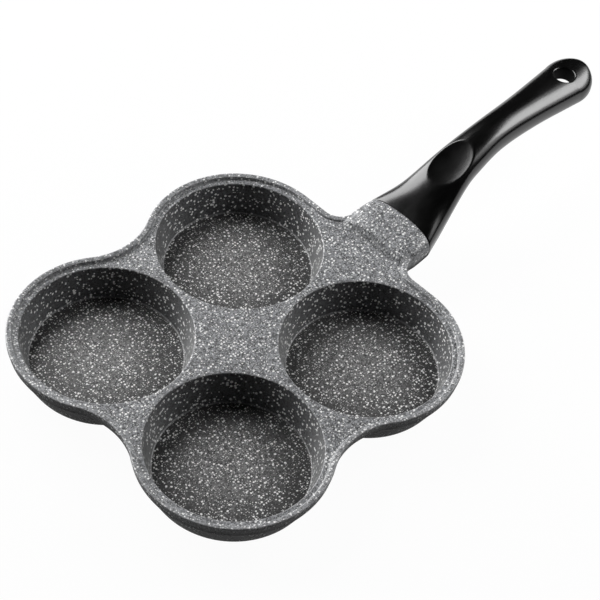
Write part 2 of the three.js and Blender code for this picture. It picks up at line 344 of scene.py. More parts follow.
# The tang's frame: X along it, Z along the screw, the origin where it leaves the neck
TANG_PLACE = (Matrix.Translation(to_row([JOINT_REACH, 0.0, JOINT_SECTION[0] + TANG_LIFT]))
              @ Matrix.Rotation(-TANG_TILT, 4, "Y"))
SCREW_SEGMENTS = 72


def tool_from(name, b):
    """An object in the tang's frame from an edit mesh, which it frees."""
    b.transform(TANG_PLACE)
    data = bpy.data.meshes.new(name)
    b.to_mesh(data)
    b.free()
    return add_object(name, data)


def tang_tool(clearance):
    length, width, thick = (s * MM for s in TANG_SIZE)
    grow, tail = clearance * MM, TANG_ROOT * MM
    size = (length + grow + tail, width + 2 * grow, thick + 2 * grow)
    b = bmesh.new()
    bmesh.ops.create_cube(b, size=1.0)
    bmesh.ops.scale(b, vec=size, verts=b.verts)
    bmesh.ops.translate(b, vec=(size[0] / 2 - tail, 0.0, 0.0), verts=b.verts)
    return tool_from("tang_tool", b)


def screw_tool(radius, low, high):
    b = bmesh.new()
    bmesh.ops.create_cone(b, cap_ends=True, segments=SCREW_SEGMENTS, radius1=radius * MM, radius2=radius * MM,
                          depth=(high - low) * MM)
    bmesh.ops.translate(b, vec=(SCREW_REACH * MM, 0.0, (low + high) / 2 * MM), verts=b.verts)
    return tool_from("screw_tool", b)


# Pan body

NECK_COURSE = spline(NECK_STATIONS)
NECK_COURSE[:, 0] += JOINT_REACH
FOOT_CORNER = FOOT_RADIUS - FOOT_ROUND * (LOBE_RADIUS - FOOT_RADIUS) / (DECK_LEVEL - EDGE_BAND - FOOT_ROUND)
FOOT_PROFILE = rounded([(0.0, -DECK_LEVEL), (FOOT_CORNER, -DECK_LEVEL), (LOBE_RADIUS, -EDGE_BAND)],
                       [FOOT_ROUND])

# Points of the outline and the cups
OUTLINE_STEP = 1.2
FEWEST_ARC_STEPS = 4
NECK_SIDE_POINTS = 22
SHOULDER_POINTS = 14
CUP_POINTS = 168
CUP_ARC_POINTS = 7
CUP_FLOOR_RINGS = (8.0, 16.0, 22.0, 27.0, 31.5, 35.5, 39.0, 42.0)
# Painted shade on the cup floors grows between these radii towards the walls
CUP_FLOOR_SHADE = (8.0, 46.0)
CUP_WALL_STEPS = (0.06, 0.35, 0.65, 0.94)
# Strength of the painted highlight on the floor's corner and the rim's round
CUP_PAINTED_GLINT = 0.5

# Points of the lip's profile: those on the edge's outer side come first, then its three rounds
LIP_SIDE_POINTS = 3
LIP_ARC_STEPS = 4
LIP_ARC_POINTS = LIP_ARC_STEPS + 1
LIP_SIDE_LEVELS = (-0.6 * EDGE_BAND, 0.4)
# Painted highlight along each of the lip's rounds, over this share of it
LIP_GLINT_SPAN = (0.1, 0.9)
LIP_OUTSIDE_MARKS = (0.65, 0.65, 0.6, 0.5, 0.2)
# Beside the neck, between these reaches past the lobes, the lip turns into the neck's round side
NECK_TURN = (2.5, 18.0)
NECK_TURN_SIDE = 0.1
NECK_INSET_POWER = 2.6
NECK_SIDE_LIFTS = (-0.5, 0.0, 0.5)

# Points of the deck round the neck
JOINT_TOP_POINTS = 35
CROWN_STEP = 1.0
CROWN_HALF_WIDTH = 44.4
CROWN_COLUMNS = 75
CROWN_MARGIN = 0.7
CUP_HOLE_MARGIN = 0.002

# Points of the underside
UNDER_CUP_RINGS = (49.6, 50.6, 51.6, 52.6, 53.4, 54.0, 54.6, 55.2, 55.8)
UNDER_FLOOR_RINGS = (14.0, 30.0)
UNDER_FLOOR_POINTS = 24
SEAM_MARGIN = 0.35
SEAM_LINE = np.arange(-108.0, 136.0, 1.5)
SEAM_HALF_WIDTH = 108.0
WEB_X = np.arange(-92.0, 109.0, 2.5)
WEB_Y = np.arange(-91.25, 92.0, 2.5)
WEB_CUP_RADIUS = 56.4
WEB_SEAM_MARGIN = 1.0
BELLY_STEP = 1.2
BELLY_HALF_WIDTH = 19.2
BELLY_COLUMNS = 28
JOINT_END_MARGIN = 0.5
NECK_UNDER_MARGIN = 4.3
LOBE_UNDER_MARGIN = 1.9
UNDER_INSETS = (0.03, 0.12, 0.3, 0.75, 1.5, 2.4, 3.4)
ALL_ROUND_INSETS = (0.75, 1.5)
NECK_RING_START = 4.0
NECK_RING_SIDE = 8.0
JOINT_BOTTOM_MARGIN = 4.0
JOINT_BOTTOM_POINTS = 35


def arc(centre, radius, start, end):
    """Points and outward normals of an arc of the outline. A negative radius is a hollow arc."""
    steps = max(FEWEST_ARC_STEPS, int(abs(radius * (end - start)) / OUTLINE_STEP))
    angles = np.linspace(start, end, steps + 1)
    out = np.stack([np.cos(angles), np.sin(angles)], 1)
    return np.array(centre) + abs(radius) * out, out * math.copysign(1.0, radius)


def outline():
    """The pan's edge from the joint's left side round to its right side, with its outward normals."""
    lean = math.atan2(WAIST_CENTRE - CUP_OFFSET, CUP_OFFSET)
    contact = LOBE_REACH + NECK_FILLET
    corner = (contact, JOINT_HALF_WIDTH + NECK_FILLET)
    side_x = np.linspace(JOINT_REACH, contact, NECK_SIDE_POINTS)[:-1]
    side = np.stack([side_x, np.full(len(side_x), JOINT_HALF_WIDTH)], 1)
    shoulder_y = np.linspace(corner[1], CUP_OFFSET, SHOULDER_POINTS + 2)[1:-1]
    shoulder = np.stack([np.full(SHOULDER_POINTS, LOBE_REACH), shoulder_y], 1)
    pieces = [
        (side, np.tile((0.0, 1.0), (len(side), 1))),
        arc(corner, -NECK_FILLET, -math.pi / 2, -math.pi),
        (shoulder, np.tile((1.0, 0.0), (SHOULDER_POINTS, 1))),
        arc((CUP_OFFSET, CUP_OFFSET), LOBE_RADIUS, 0.0, math.pi - lean),
        arc((0.0, WAIST_CENTRE), -WAIST_RADIUS, -lean, lean - math.pi),
        arc((-CUP_OFFSET, CUP_OFFSET), LOBE_RADIUS, lean, 1.5 * math.pi - lean),
        arc((-WAIST_CENTRE, 0.0), -WAIST_RADIUS, math.pi / 2 - lean, 0.0),
    ]
    spots = np.vstack([p for p, _ in pieces])
    normals = np.vstack([n for _, n in pieces])
    fresh = np.ones(len(spots), bool)
    fresh[1:] = np.linalg.norm(np.diff(spots, axis=0), axis=1) > TOUCHING
    spots, normals = spots[fresh], normals[fresh]
    flip = np.array((1.0, -1.0))
    return np.vstack([spots, spots[-2::-1] * flip]), np.vstack([normals, normals[-2::-1] * flip])


def neck_top(x, y):
    """Height of the neck's crown and sides, dropping below the deck at its foot."""
    middle, rise = bulge(NECK_COURSE, x, y)
    return soft_min((x - FOOT_START) * FOOT_SLOPE, middle + rise, FOOT_EASE)


def neck_bottom(x, y):
    middle, rise = bulge(NECK_COURSE, x, y)
    return np.where(x > NECK_COURSE[0, 0], middle - rise, 0.0)


def apron(x, y, inset):
    """Height of the deck's rise beside the neck, which ends at the cups' rims."""
    from_cup = np.min([np.hypot(x - cx, y - cy) for cx, cy in CUPS], axis=0)
    fall = smooth_step(APRON_START, APRON_WIDTH, inset)
    rise = APRON_HEIGHT * (1.0 - fall) * smooth_step(RIM_SHOULDER, RIM_SHOULDER + APRON_EASE, from_cup)
    return rise * smooth_step(*BAY_REACH, x) * smooth_step(*BAY_SIDE, np.abs(y))


def deck_top(x, y, inset):
    return soft_max(apron(x, y, inset), neck_top(x, y), FOOT_BLEND)


def underside(x, y, inset):
    """Height of the pan's underside. The inset is the distance in from the outline."""
    height = np.maximum(-DECK_THICKNESS, -EDGE_BAND - inset * (DECK_THICKNESS - EDGE_BAND) / EDGE_DRAFT)
    for cx, cy in CUPS:
        r = np.hypot(x - cx, y - cy)
        cup = np.interp(r, FOOT_PROFILE[:, 0], FOOT_PROFILE[:, 1])
        height = np.where(r < LOBE_RADIUS, soft_min(height, cup, CUP_BLEND), height)
    return soft_min(height, neck_bottom(x, y), BELLY_BLEND)


def make_cup(skin, centre):
    """The inside of one cup. Returns the ring where it meets the deck."""
    profile = rounded([(0.0, -CUP_DEPTH), (CUP_FLOOR_RADIUS, -CUP_DEPTH), (CUP_RIM_RADIUS, 0.0),
                       (RIM_SHOULDER, 0.0)], [CUP_CORNER, RIM_ROUND], CUP_ARC_POINTS - 1)
    corner, rim = profile[1:CUP_ARC_POINTS + 1], profile[CUP_ARC_POINTS + 1:-1]
    shares = np.linspace(0.0, 1.0, CUP_ARC_POINTS)
    # Painted highlight along the floor's corner and the rim's round, strongest in the middle of each
    edges = CUP_PAINTED_GLINT * np.sin(math.pi * shares)
    circle = unit_circle(CUP_POINTS)

    def ring(radius, height, marks):
        return skin.ring(np.column_stack([centre + radius * circle, np.full(CUP_POINTS, height)]), marks)

    # Floor rings and the floor's corner take painted shade that deepens towards the wall
    rings = [ring(radius, -CUP_DEPTH, marked(floor=1.0, corner=smooth_step(*CUP_FLOOR_SHADE, radius)))
             for radius in CUP_FLOOR_RINGS]
    skin.fan(rings[0], skin.ring([(*centre, -CUP_DEPTH)], marked(floor=1.0))[0])
    for (radius, height), share, edge in zip(corner, shares, edges):
        marks = marked(edge=edge, wall=share, floor=1.0 - share, corner=1.0 - share)
        rings.append(ring(radius, height, marks))
    for step in CUP_WALL_STEPS:
        radius, height = corner[-1] + (rim[0] - corner[-1]) * step
        rings.append(ring(radius, height, marked(wall=1.0)))
    for (radius, height), share, edge in zip(rim, shares, edges):
        rings.append(ring(radius, height, marked(edge=edge, wall=1.0 - share)))
    rings.append(ring(*profile[-1], marked()))
    skin.strips(rings)
    return rings[-1]


def make_edge(skin, spots, normals):
    """The edge band and the lip, from the bottom of the band to the deck. Returns its loops of points."""
    lip = rounded([(0.0, -EDGE_BAND), (0.0, LIP_HEIGHT), (LIP_WIDTH, LIP_HEIGHT - LIP_FALL),
                   (LIP_WIDTH + LIP_DRAFT, 0.0), (LIP_MARGIN, 0.0)], LIP_ROUNDS, LIP_ARC_STEPS)
    lip = np.vstack([lip[:1], [(0.0, level) for level in LIP_SIDE_LEVELS], lip[1:]])
    count = len(lip)
    painted_glints, outside_marks = np.zeros(count), np.zeros(count)
    # Painted highlight along the lip's rounds
    round_glints = np.sin(np.pi * np.linspace(*LIP_GLINT_SPAN, LIP_ARC_POINTS))
    painted_glints[LIP_SIDE_POINTS:-1] = np.tile(round_glints, len(LIP_ROUNDS))
    outside_marks[:len(LIP_OUTSIDE_MARKS)] = LIP_OUTSIDE_MARKS

    neck_insets = LIP_MARGIN * (np.arange(count) / (count - 1.0)) ** NECK_INSET_POWER
    neck_insets[:LIP_SIDE_POINTS] = 0.0
    turn = np.where(np.abs(spots[:, 1]) < JOINT_HALF_WIDTH + NECK_FILLET + NECK_TURN_SIDE,
                    smooth_step(LOBE_REACH + NECK_TURN[0], LOBE_REACH + NECK_TURN[1], spots[:, 0]), 0.0)
    plain = 1.0 - turn
    loops = []
    for i in range(count):
        inset = plain * lip[i, 0] + turn * neck_insets[i]
        plan = spots - normals * inset[:, None]
        x, y = plan.T
        on_neck = section_at(NECK_COURSE, x)[0] + NECK_SIDE_LIFTS[min(i, LIP_SIDE_POINTS - 1)]
        if i >= LIP_SIDE_POINTS:
            on_neck = np.maximum(neck_top(x, y), on_neck)
        on_lip = np.maximum(lip[i, 1], apron(x, y, inset))
        if i >= LIP_SIDE_POINTS + LIP_ARC_POINTS:
            on_lip = soft_max(on_lip, neck_top(x, y), LIP_BLEND)
        marks = marked(edge=painted_glints[i] * plain, outside=outside_marks[i] * plain)
        loops.append(skin.ring(np.column_stack([plan, plain * on_lip + turn * on_neck]),
                               np.stack(np.broadcast_arrays(*marks), 1)))
    skin.strips(loops, closed=False)
    return loops


def make_deck(skin, spots, inner, rims):
    """The deck and the neck's crown, from the lip's foot to the cup rims. Returns the joint's top edge."""
    reach = JOINT_HALF_WIDTH - LIP_MARGIN
    across = np.linspace(-reach, reach, JOINT_TOP_POINTS + 2)[1:-1]
    end = np.full(JOINT_TOP_POINTS, JOINT_REACH)
    joint_top = skin.ring(np.column_stack([end, across, neck_top(end, across)]))
    grid = lattice(np.arange(BAY_REACH[0], JOINT_REACH - JOINT_END_MARGIN, CROWN_STEP),
                   np.linspace(-CROWN_HALF_WIDTH, CROWN_HALF_WIDTH, CROWN_COLUMNS))
    inset = distance_to(spots, grid)
    clear = in_polygon(grid, spots) & (inset > LIP_MARGIN + CROWN_MARGIN)
    clear &= clear_of_cups(grid, RIM_SHOULDER + CROWN_MARGIN)
    x, y = grid[clear].T
    crown = skin.ring(np.column_stack([x, y, deck_top(x, y, inset[clear])]))

    numbers = np.concatenate([inner, joint_top, *rims, crown])
    boundary = len(inner) + len(joint_top)
    edges = round_trip(boundary)
    for k, rim in enumerate(rims):
        edges += round_trip(len(rim), boundary + k * CUP_POINTS)
    border = np.array([skin.points[n][:2] for n in numbers[:boundary]])
    hole = RIM_SHOULDER * math.cos(math.pi / CUP_POINTS) - CUP_HOLE_MARGIN
    skin.fill(numbers, edges, lambda middles: clear_of_cups(middles, hole) & in_polygon(middles, border))
    return joint_top


def underside_spots():
    """Plan of the underside's points: cup feet and cones, seams between cups, the web, the neck's belly."""
    found = []
    for centre in np.array(CUPS):
        for radius in (*FOOT_PROFILE[1:-1, 0], *UNDER_CUP_RINGS):
            ring = centre + radius * unit_circle(CUP_POINTS)
            found.append(ring[(ring * np.sign(centre) > SEAM_MARGIN).all(axis=1)])
        found += [centre + radius * unit_circle(UNDER_FLOOR_POINTS) for radius in UNDER_FLOOR_RINGS]
        found.append(centre[None])
    still = np.zeros_like(SEAM_LINE)
    found.append(np.column_stack([SEAM_LINE, still]))
    found.append(np.column_stack([still, SEAM_LINE])[np.abs(SEAM_LINE) < SEAM_HALF_WIDTH])
    web = lattice(WEB_X, WEB_Y)
    found.append(web[clear_of_cups(web, WEB_CUP_RADIUS) & (np.abs(web) > WEB_SEAM_MARGIN).all(axis=1)])
    found.append(lattice(np.arange(LOBE_REACH + JOINT_END_MARGIN, JOINT_REACH - JOINT_END_MARGIN, BELLY_STEP),
                         np.linspace(-BELLY_HALF_WIDTH, BELLY_HALF_WIDTH, BELLY_COLUMNS)))
    return np.vstack(found)


def make_underside(skin, spots, normals, outer):
    """The underside within the outer loop. Returns the joint's bottom edge, from right to left."""
    outside = marked(outside=1.0)
    plan = underside_spots()
    inset = distance_to(spots, plan)
    margin = np.where(plan[:, 0] > LOBE_REACH, NECK_UNDER_MARGIN, LOBE_UNDER_MARGIN)
    inside = in_polygon(plan, spots) & (inset > margin)
    rings = []
    for step in UNDER_INSETS:
        ring = spots - normals * step
        if step not in ALL_ROUND_INSETS:
            ring = ring[(ring[:, 0] > LOBE_REACH + NECK_RING_START)
                        & (np.abs(ring[:, 1]) < JOINT_HALF_WIDTH + NECK_RING_SIDE)]
        rings.append(skin.ring(np.column_stack([ring, underside(*ring.T, step)]), outside))
    under = underside(*plan[inside].T, inset[inside])
    middle = skin.ring(np.column_stack([plan[inside], under]), outside)
    reach = JOINT_HALF_WIDTH - JOINT_BOTTOM_MARGIN
    across = np.linspace(-reach, reach, JOINT_BOTTOM_POINTS)
    end = np.full(JOINT_BOTTOM_POINTS, JOINT_REACH)
    joint_bottom = skin.ring(np.column_stack([end, across, neck_bottom(end, across)]), outside)

    joint_edge = np.array([*(ring[-1] for ring in rings), *joint_bottom, *(ring[0] for ring in rings[::-1])])
    numbers = np.concatenate([outer, joint_edge, *(ring[1:-1] for ring in rings), middle])
    boundary = len(outer) + len(joint_edge)
    border = np.array([skin.points[n][:2] for n in numbers[:boundary]])
    skin.fill(numbers, round_trip(boundary), lambda middles: in_polygon(middles, border))
    return joint_edge


def make_pan():
    skin = Skin()
    spots, normals = outline()
    loops = make_edge(skin, spots, normals)
    rims = [make_cup(skin, np.array(c)) for c in CUPS]
    joint_top = make_deck(skin, spots, loops[-1], rims)
    joint_bottom = make_underside(skin, spots, normals, loops[0])

    # The face at the joint, flat until it is bowed
    left_side = [loop[0] for loop in loops]
    right_side = [loop[-1] for loop in loops]
    face = [*left_side, *joint_top[::-1], *right_side[::-1], *joint_bottom]
    border = np.array([skin.points[n][1:] for n in face])
    skin.fill(face, round_trip(len(face)), lambda middles: in_polygon(middles, border), (1, 2))
    x = np.array(skin.points)[:, 0]
    skin.points = bowed(skin.points, smooth_step(JOINT_REACH - NECK_BOW_LENGTH, JOINT_REACH, x))
    return skin


def make_pan_body():
    made = add_object("pan_casting", make_pan().mesh("pan_casting"))
    carve(made, tang_tool(0.0), "UNION")
    carve(made, screw_tool(SCREW_HOLE_RADIUS, -TANG_SIZE[2], TANG_SIZE[2]), "DIFFERENCE")
    smooth(made)
    return made


# Handle

HANDLE_COURSE = spline(HANDLE_STATIONS)
RING_POINTS = 144
RING_SPACING = 0.5
EDGE_RING_STEPS = np.array([0.0, 0.08, 0.2])
TIP_RINGS = 44
TIP_LAST_DEGREES = 89.0
THUMB_LOWEST_SINE = 0.05
HOLLOW_ROUND_POINTS = 7
# The patch of skin that the hanging hole replaces, above and below: half its length in millimetres, and half
# its width in ring points
PATCH_HALF_LENGTH = 10.5
PATCH_SPREAD = 16
PATCH_RINGS = 8
MOUTH_MARGIN = 0.25
MOUTH_RINGS = 8
BORE_RINGS = 6
BORE_MARGIN = 0.3
QUARTER = RING_POINTS // 4


def tip_course():
    """Sections of the rounded tip, which close in as a quarter circle does and curl up a little."""
    _, middle, width, height, square = HANDLE_COURSE[-1]
    angles = np.radians(np.linspace(0.0, TIP_LAST_DEGREES, TIP_RINGS + 1)[1:])
    along, across = np.sin(angles), np.cos(angles)
    return np.column_stack([HANDLE_LENGTH - TIP_LENGTH * (1.0 - along), middle + TIP_CURL * along ** 2,
                            width * across * (1.0 + TIP_FULLNESS * along), height * np.cbrt(across),
                            np.full(TIP_RINGS, square)])


FULL_COURSE = np.vstack([HANDLE_COURSE, tip_course()])


def thumb_dish(reach, y):
    """Height of the thumb rest's dish, a part of a large sphere laid on the slope of the handle's top."""
    middle, _, height, _ = section_at(FULL_COURSE, THUMB_REACH)
    lift = THUMB_RADIUS - THUMB_DEPTH
    centre_x = THUMB_REACH - lift * math.sin(THUMB_TILT)
    centre_z = middle + height + lift * math.cos(THUMB_TILT)
    span = THUMB_RADIUS ** 2 - (reach - centre_x) ** 2 - y ** 2
    return np.where(span > 0.0, centre_z - np.sqrt(np.maximum(span, 0.0)), FAR_AWAY)


def hollow_tool():
    """The moulded hollow in the handle's underside round the hanging hole, with a rounded ceiling."""
    skin = Skin()
    middle, _, height, _ = section_at(FULL_COURSE, HOLE_REACH)
    ceiling = middle + height - HOLLOW_DEPTH
    centre = JOINT_REACH + HOLE_REACH + HOLLOW_SHIFT
    shape = [np.sign(part) * np.sqrt(np.abs(part)) for part in unit_circle(RING_POINTS).T]
    levels = [(0.0, middle - 2 * height)]
    for t in np.linspace(0.0, math.pi / 2, HOLLOW_ROUND_POINTS):
        levels.append((HOLLOW_ROUND * (1.0 - math.cos(t)), ceiling - HOLLOW_ROUND * (1.0 - math.sin(t))))
    rings = []
    for inset, level in levels:
        x, y = ((half - inset) * part for half, part in zip(HOLLOW_HALF_SIZE, shape))
        rings.append(skin.ring(np.column_stack([centre + x, y, np.full(RING_POINTS, level)])))
    skin.strips(rings)
    skin.fan(rings[0], skin.ring([(centre, 0.0, levels[0][1])])[0])
    skin.fan(rings[-1], skin.ring([(centre, 0.0, ceiling)])[0])
    return add_object("hollow_tool", skin.mesh("hollow_tool"))


def handle_ring(reach):
    """Points round the handle at one reach, drawn in at the joint's edge and dished for the thumb."""
    middle, width, height, square = section_at(FULL_COURSE, reach)
    from_end = min(reach - JOINT_GAP, JOINT_EDGE_ROUND)
    draw_in = JOINT_EDGE_ROUND - math.sqrt(JOINT_EDGE_ROUND ** 2 - (JOINT_EDGE_ROUND - from_end) ** 2)
    cos, sin = unit_circle(RING_POINTS).T
    y = (width - draw_in) * np.sign(cos) * np.abs(cos) ** (2.0 / square)
    z = middle + (height - draw_in) * np.sign(sin) * np.abs(sin) ** (2.0 / square)
    z = np.where(sin > THUMB_LOWEST_SINE, soft_min(z, thumb_dish(reach, y), THUMB_EASE), z)
    return np.column_stack([np.full(RING_POINTS, JOINT_REACH + reach), y, z])


def patch_loop(first, last, top):
    """Ring numbers and point numbers round the patch above or below, between two rings."""
    middle, step = (QUARTER, 1) if top else (3 * QUARTER, -1)
    a, b = middle - step * PATCH_SPREAD, middle + step * PATCH_SPREAD
    loop = [(first, k) for k in range(a, b, step)] + [(i, b) for i in range(first, last)]
    return loop + [(last, k) for k in range(b, a, -step)] + [(i, a) for i in range(last, first, -1)]


def make_mouth(skin, numbers, sign):
    """Skin from the patch's border in to the hole, with a rounded mouth. Returns the ring in the hole."""
    plan = np.array([skin.points[n][:2] for n in numbers]) - (JOINT_REACH + HOLE_REACH, 0.0)
    turn = np.arctan2(plan[:, 1], plan[:, 0])
    circle = np.stack([np.cos(turn), np.sin(turn)], 1)

    def ring(spots, drop):
        middle, rise = bulge(FULL_COURSE, HOLE_REACH + spots[:, 0], spots[:, 1])
        height = middle + sign * (rise - drop)
        return skin.ring(np.column_stack([JOINT_REACH + HOLE_REACH + spots[:, 0], spots[:, 1], height]))

    rings = [numbers]
    outer = HOLE_RADIUS + HOLE_ROUND + MOUTH_MARGIN
    for t in np.linspace(0.0, 1.0, PATCH_RINGS + 1)[1:]:
        rings.append(ring(plan * (1.0 - t) + circle * outer * t, 0.0))
    for angle in np.linspace(0.0, math.pi / 2, MOUTH_RINGS):
        inward = HOLE_ROUND * (1.0 - math.sin(angle))
        rings.append(ring(circle * (HOLE_RADIUS + inward), HOLE_ROUND * (1.0 - math.cos(angle))))
    skin.strips(rings)
    return rings[-1]


def make_grip():
    """The handle's outer skin with the hanging hole through it."""
    skin = Skin()
    body = np.arange(JOINT_GAP, HANDLE_LENGTH - TIP_LENGTH, RING_SPACING)
    reaches = np.concatenate([JOINT_GAP + EDGE_RING_STEPS, body[1:], FULL_COURSE[-TIP_RINGS - 1:, 0]])
    rings = [skin.ring(handle_ring(reach)) for reach in reaches]
    first = int(np.searchsorted(reaches, HOLE_REACH - PATCH_HALF_LENGTH))
    last = int(np.searchsorted(reaches, HOLE_REACH + PATCH_HALF_LENGTH))

    def in_patch(i, k):
        return first <= i < last and any(-PATCH_SPREAD <= k - middle < PATCH_SPREAD
                                         for middle in (QUARTER, 3 * QUARTER))

    for i in range(len(rings) - 1):
        for k in range(RING_POINTS):
            if not in_patch(i, k):
                n = (k + 1) % RING_POINTS
                skin.faces.append((rings[i][k], rings[i][n], rings[i + 1][n], rings[i + 1][k]))
    tip = handle_ring(reaches[-1]).mean(axis=0) + (HANDLE_LENGTH - reaches[-1], 0.0, 0.0)
    skin.fan(rings[-1], skin.ring([tip])[0])
    for k in range(RING_POINTS // 2):
        across = [k, k + 1, (RING_POINTS - k - 1) % RING_POINTS, (RING_POINTS - k) % RING_POINTS]
        skin.faces.append(tuple(int(rings[0][n]) for n in dict.fromkeys(across)))

    mouths = []
    for sign in (1.0, -1.0):
        border = np.array([rings[i][k] for i, k in patch_loop(first, last, sign > 0)])
        mouths.append(make_mouth(skin, border, sign))
    top, under = (np.array([skin.points[n] for n in mouth]) for mouth in mouths)
    steps = np.linspace(0.0, 1.0, BORE_RINGS + 2)[1:-1]
    bore = [skin.ring(top * (1.0 - t) + under * t) for t in steps]
    skin.strips([mouths[0], *bore, mouths[1]])

    x = np.array(skin.points)[:, 0] - JOINT_REACH
    skin.points = bowed(skin.points, 1.0 - smooth_step(0.0, HANDLE_BOW_LENGTH, x))
    return skin


def make_handle():
    made = add_object("grip", make_grip().mesh("grip"))
    carve(made, hollow_tool(), "DIFFERENCE")
    carve(made, tang_tool(CLEARANCE), "DIFFERENCE")
    carve(made, screw_tool(SCREW_HOLE_RADIUS, -SEAT_DEPTH - SCREW_HOLE_OVERLAP, 0.0), "DIFFERENCE")
    carve(made, screw_tool(COUNTERBORE_RADIUS, COUNTERBORE_LOW, -SEAT_DEPTH), "DIFFERENCE")
    smooth(made)
    spots = np.array([vertex.co for vertex in made.data.vertices])
    axis = to_row([JOINT_REACH + HOLE_REACH, 0.0, 0.0])
    in_bore = np.hypot(spots[:, 0] - axis[0], spots[:, 1]) < (HOLE_RADIUS + BORE_MARGIN) * MM
    made.data.attributes.new("bore", "FLOAT", "POINT").data.foreach_set("value", in_bore.astype(np.float32))
    return made


# Materials

class Nodes:
    """Short ways to make and join shader nodes."""

    def __init__(self, material):
        material.use_nodes = True
        self.tree = material.node_tree
        self.tree.nodes.clear()

    def add(self, kind, **settings):
        node = self.tree.nodes.new(kind)
        for name, value in settings.items():
            setattr(node, name, value)
        return node

    def join(self, source, target):
        self.tree.links.new(source, target)

    def put(self, socket, value):
        if isinstance(value, bpy.types.NodeSocket):
            self.join(value, socket)
        else:
            socket.default_value = value

    def math(self, operation, *values):
        node = self.add("ShaderNodeMath", operation=operation)
        for socket, value in zip(node.inputs, values):
            self.put(socket, value)
        return node.outputs[0]

    def span(self, value, low, high, out_low=0.0, out_high=1.0):
        node = self.add("ShaderNodeMapRange", interpolation_type="SMOOTHSTEP")
        for i, item in enumerate((value, low, high, out_low, out_high)):
            self.put(node.inputs[i], item)
        return node.outputs[0]

    def mix(self, factor, a, b):
        node = self.add("ShaderNodeMix", data_type="RGBA")
        self.put(node.inputs[0], factor)
        self.put(node.inputs[6], a)
        self.put(node.inputs[7], b)
        return node.outputs[2]

    def attribute(self, name):
        return self.add("ShaderNodeAttribute", attribute_name=name).outputs["Fac"]

    def noise(self, where, size, detail, roughness):
        """Noise with features of about that size, in millimetres."""
        node = self.add("ShaderNodeTexNoise")
        self.join(where, node.inputs["Vector"])
        node.inputs["Scale"].default_value = 1.0 / (size * MM)
        node.inputs["Detail"].default_value = detail
        node.inputs["Roughness"].default_value = roughness
        return node.outputs["Fac"]

    def cells(self, where, size, dimensions="3D"):
        """Cells of about that size, in millimetres: distance from the cell's point, and random levels."""
        node = self.add("ShaderNodeTexVoronoi", voronoi_dimensions=dimensions)
        self.join(where, node.inputs["Vector"])
        node.inputs["Scale"].default_value = 1.0 / (size * MM)
        levels = self.add("ShaderNodeSeparateColor")
        self.join(node.outputs["Color"], levels.inputs[0])
        return node.outputs["Distance"], levels.outputs

    def bump(self, height, strength, distance):
        """Normals bent by the height, whose full range is the distance, in millimetres."""
        node = self.add("ShaderNodeBump")
        node.inputs["Strength"].default_value = strength
        node.inputs["Distance"].default_value = distance * MM
        self.join(height, node.inputs["Height"])
        return node.outputs[0]

    def show(self, shader):
        out = self.add("ShaderNodeOutputMaterial")
        self.join(shader.outputs[0], out.inputs[0])


def grey(value, tint=0.0):
    """A grey, towards blue for a positive tint."""
    return (value * (1.0 - 0.5 * tint), value, value * (1.0 + tint), 1.0)


# Layers of specks: a cell's size and the largest speck's radius in millimetres, the share of cells with a
# speck, and the strength of the faintest
FINE_SPECKS = {"size": 1.2, "radius": 0.42, "chance": 0.5, "faintest": 0.3}
LARGE_SPECKS = {"size": 2.0, "radius": 0.72, "chance": 0.38, "faintest": 0.85}
STANDING_SPECKS = {"size": 1.7, "radius": 0.95, "faintest": 0.95}
PITS = {"size": 1.7, "radius": 0.5, "chance": 0.3, "faintest": 0.4}
STANDING_CHANCES = (0.45, 0.22)
FINE_STRENGTH = 0.8
SMALLEST_SPECK = 0.4
SPECK_EDGE = 0.9
SPECK_COLOUR = (0.97, 0.97, 0.96, 1.0)
SPECK_HEIGHT = 0.5
# The specks' outlines waver by noise of this scale, in cycles per metre, and by this much, in metres
WAVER_SCALE = 900.0
WAVER = 0.0006
# Faces whose normal rises less than this take the standing specks, with a soft change between the two values
STEEP = (0.75, 0.5)
GRANULE = 0.85
# The coat's colours between the granules and in them
DECK_PALE, DECK_DARK = grey(0.38, 0.045), grey(0.035, 0.04)
FLOOR_PALE, COAT_DARK = grey(0.265), grey(0.015)
WALL_PALE = grey(0.115, 0.06)
OUTSIDE_PALE = grey(0.09, 0.02)
# Painted highlight on rounded edges: its colour and strength
PAINTED_GLINT_COLOUR, PAINTED_GLINT_STRENGTH = grey(0.5, 0.02), 0.45
CLOUD_DARK, CLOUD_STRENGTH = grey(0.06), 0.15
# How deep the painted shade on the cup floors goes towards COAT_DARK
PAINTED_CORNER_SHADE = 0.9
# The coat's finish: roughness from fine to coarse grain and its changes, shine on the deck and outside, the
# share that the cup walls lose and the sheen they gain
COAT_ROUGHNESS = (0.36, 0.46)
WALL_SMOOTHER, OUTSIDE_ROUGHER = 0.1, 0.25
COAT_SHINE = (0.8, 0.08)
WALL_DULLER, WALL_SHEEN = 0.5, 0.45


def specks(n, where, dimensions, size, radius, chance, faintest):
    """A layer of specks, one at most in each cell. Sizes and strengths vary from cell to cell."""
    distance, levels = n.cells(where, size, dimensions)
    largest = radius / size
    own = n.math("MULTIPLY_ADD", levels[0], (1.0 - SMALLEST_SPECK) * largest, SMALLEST_SPECK * largest)
    there = n.math("LESS_THAN", levels[1], chance)
    inside = n.span(n.math("DIVIDE", distance, own), 1.0, SPECK_EDGE)
    strength = n.math("MULTIPLY_ADD", levels[2], 1.0 - faintest, faintest)
    return n.math("MULTIPLY", n.math("MULTIPLY", inside, there), strength)


